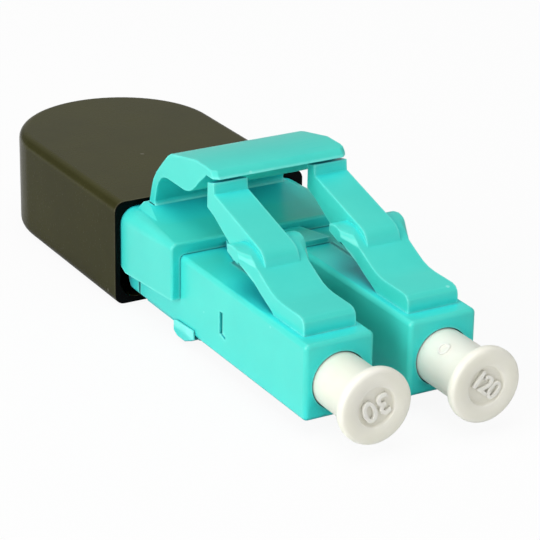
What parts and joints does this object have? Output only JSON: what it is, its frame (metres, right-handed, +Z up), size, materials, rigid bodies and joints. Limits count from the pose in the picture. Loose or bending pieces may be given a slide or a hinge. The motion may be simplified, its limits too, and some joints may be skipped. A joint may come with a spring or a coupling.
{
  "type": "fibre loopback module",
  "caption": "Duplex optical loopback plug with latching plugs, a shared release trigger, dust caps and a round-backed black housing that holds a fibre loop.",
  "frame": {"origin": "middle of the footprint, on the surface the rear housing rests on", "axes": "+X across the module to its right side seen from the plug faces' side view along +Y, +Y from the plug faces to the rear, +Z up to the latches and trigger"},
  "size_m": [0.0122, 0.0414, 0.0105],
  "materials": {
    "aqua_plastic": "satin moulded",
    "black_plastic": "smooth moulded",
    "cap_plastic": "soft moulded",
    "white_ceramic": "polished ceramic",
    "holder_metal": "nickel plated",
    "spring_steel": "drawn wire",
    "dark_rubber": "matt",
    "fibre_jacket": "smooth jacket"
  },
  "bodies": {
    "module": {"plug_housing_left": "aqua_plastic", "plug_housing_right": "aqua_plastic", "rear_body_left": "aqua_plastic", "rear_body_right": "aqua_plastic", "strain_sleeve_left": "dark_rubber", "strain_sleeve_right": "dark_rubber", "spring_left": "spring_steel", "spring_right": "spring_steel", "fibre_loop": "fibre_jacket", "clip_cover": "aqua_plastic", "clip_base": "aqua_plastic", "rear_housing": "black_plastic"},
    "trigger_arm": {"trigger": "aqua_plastic"},
    "latch_arm_left": {"latch_left": "aqua_plastic"},
    "latch_arm_right": {"latch_right": "aqua_plastic"},
    "cap_left": {"dust_cap_left": "cap_plastic"},
    "cap_right": {"dust_cap_right": "cap_plastic"},
    "ferrule_group_left": {"ferrule_left": "white_ceramic", "ferrule_holder_left": "holder_metal"},
    "ferrule_group_right": {"ferrule_right": "white_ceramic", "ferrule_holder_right": "holder_metal"}
  },
  "joints": [
    {"name": "trigger_press", "type": "hinge", "parent": "module", "child": "trigger_arm", "pos_m": [0, 0.0022, 0.00624], "axis": [1, 0, 0], "range_deg": [0, 6], "stiffness_Nm_per_rad": 0.002},
    {"name": "latch_flex_left", "type": "hinge", "parent": "module", "child": "latch_arm_left", "pos_m": [-0.00313, -0.012, 0.00577], "axis": [1, 0, 0], "range_deg": [-5.6, 0], "stiffness_Nm_per_rad": 0.001},
    {"name": "latch_flex_right", "type": "hinge", "parent": "module", "child": "latch_arm_right", "pos_m": [0.00313, -0.012, 0.00577], "axis": [1, 0, 0], "range_deg": [-5.6, 0], "stiffness_Nm_per_rad": 0.001},
    {"name": "cap_pull_left", "type": "slide", "parent": "module", "child": "cap_left", "axis": [0, -1, 0], "range_m": [0, 0.009]},
    {"name": "cap_pull_right", "type": "slide", "parent": "module", "child": "cap_right", "axis": [0, -1, 0], "range_m": [0, 0.009]},
    {"name": "ferrule_float_left", "type": "slide", "parent": "module", "child": "ferrule_group_left", "axis": [0, 1, 0], "range_m": [0, 0.0009], "stiffness_N_per_m": 1000, "springref_m": -0.004, "deforming": ["spring_left"]},
    {"name": "ferrule_float_right", "type": "slide", "parent": "module", "child": "ferrule_group_right", "axis": [0, 1, 0], "range_m": [0, 0.0009], "stiffness_N_per_m": 1000, "springref_m": -0.004, "deforming": ["spring_right"]}
  ],
  "couplings": [
    {"joint": "latch_flex_left", "follows": "trigger_press", "ratio": -0.92},
    {"joint": "latch_flex_right", "follows": "trigger_press", "ratio": -0.92}
  ]
}
